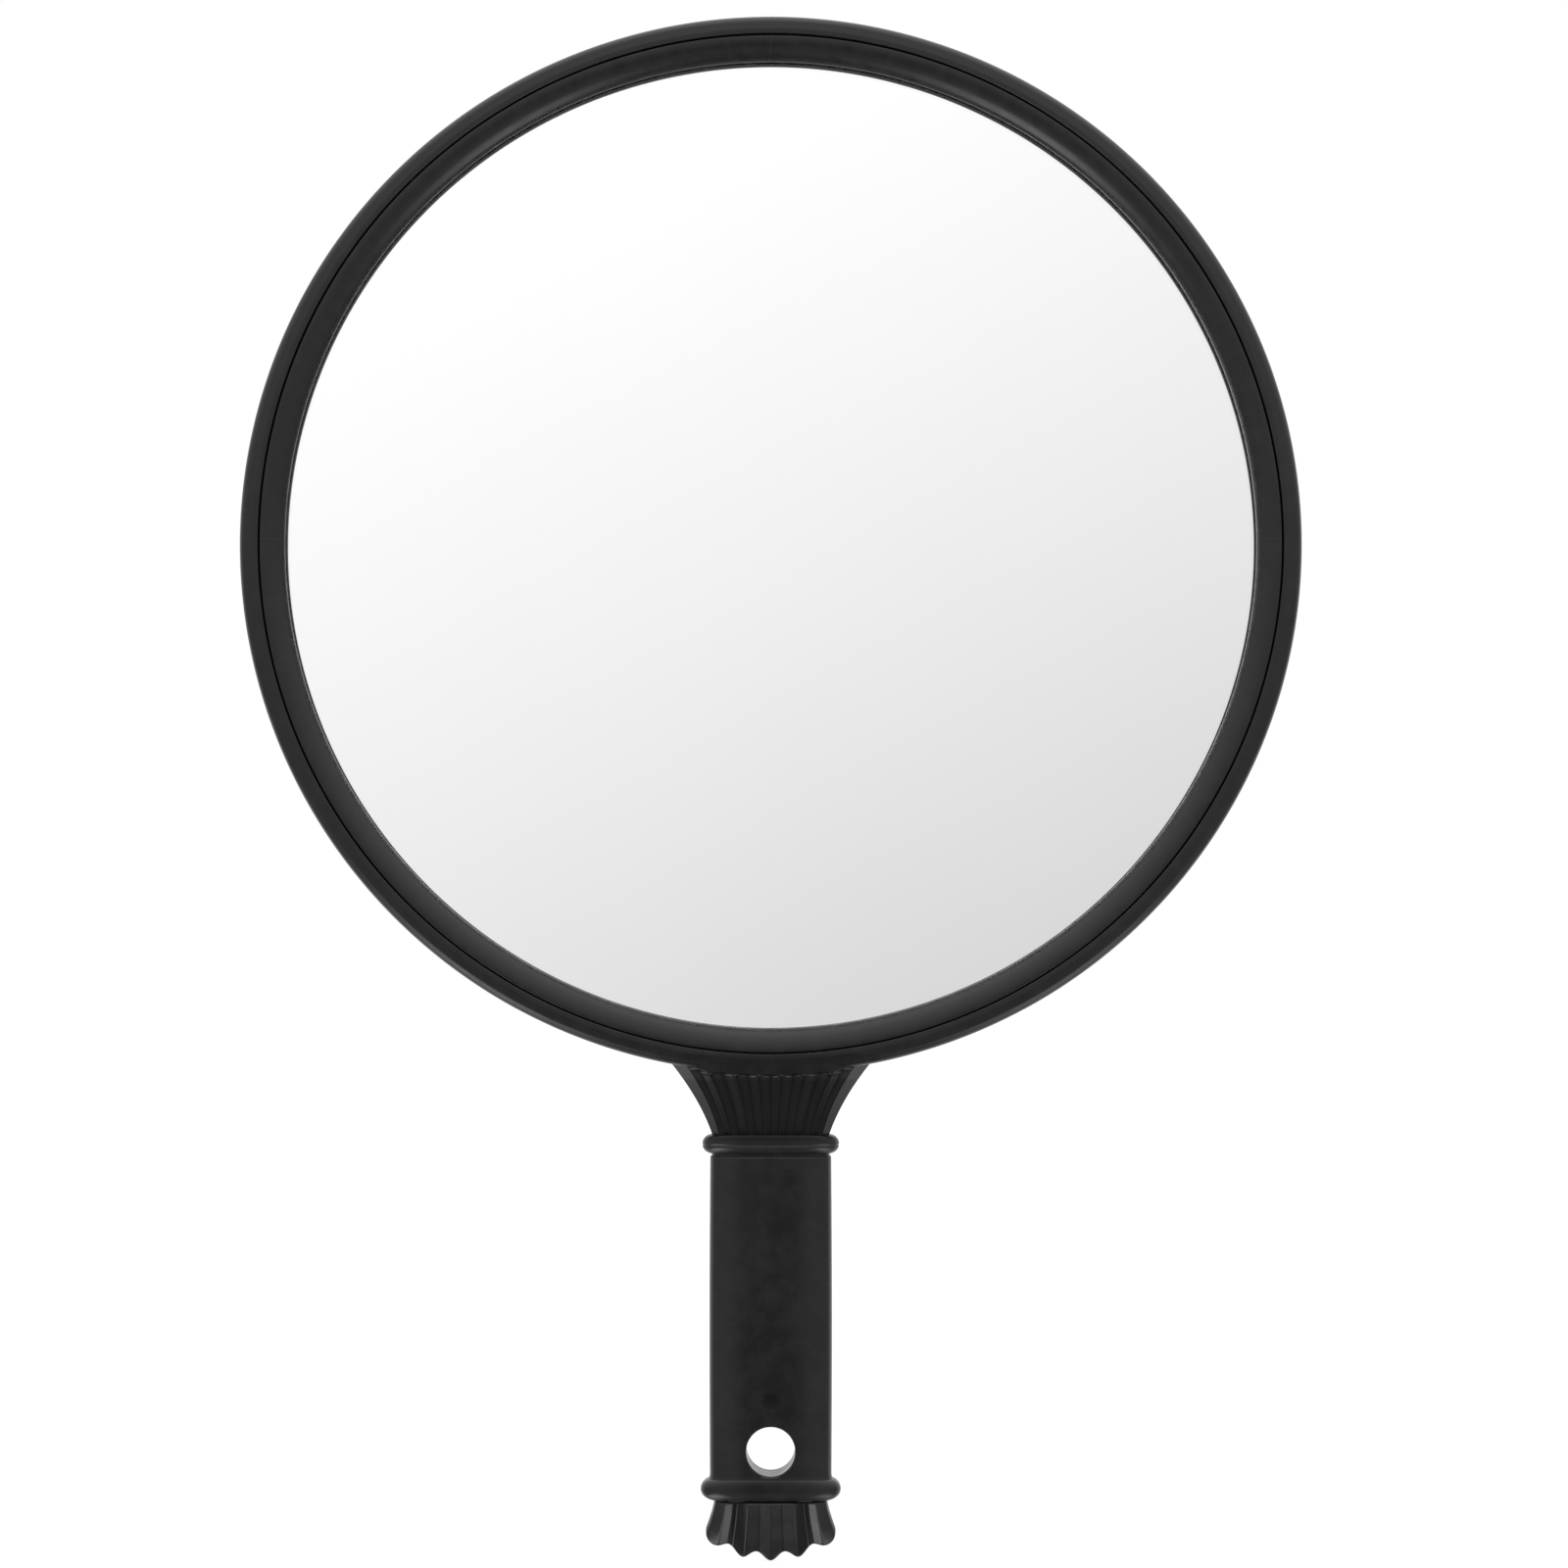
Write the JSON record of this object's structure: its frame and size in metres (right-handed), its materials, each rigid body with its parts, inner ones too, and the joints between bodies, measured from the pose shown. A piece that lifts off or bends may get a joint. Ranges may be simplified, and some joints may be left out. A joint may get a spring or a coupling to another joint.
{
  "type": "hand mirror",
  "caption": "Round hand mirror: glass under a snap-in bezel in a black moulded frame, on a short column-shaped handle with a hanging hole near its foot.",
  "frame": {"origin": "centre of the round head, on the flat back of the rear cover", "axes": "-Y out of the mirror glass, towards the person who looks into it; +Y out of the flat back; +Z from the handle to the top of the head; X across the head"},
  "size_m": [0.22, 0.0122, 0.3193],
  "materials": {
    "black_plastic": "satin black moulding with fine wear on the grip",
    "mirror": "silvered float glass with a ground edge",
    "vinyl_film": "grey adhesive film",
    "foam": "dark closed-cell foam",
    "zinc_steel": "zinc-plated steel"
  },
  "bodies": {
    "root": {"front_frame": "black_plastic", "bezel_ring": "black_plastic", "rear_cover": "black_plastic", "mirror_glass": "mirror", "safety_film": "vinyl_film", "foam_pad_1": "foam", "foam_pad_2": "foam", "foam_pad_3": "foam", "foam_pad_4": "foam", "foam_pad_5": "foam", "foam_pad_6": "foam", "handle_screw_1": "zinc_steel", "handle_screw_2": "zinc_steel", "handle_screw_3": "zinc_steel"}
  },
  "joints": []
}
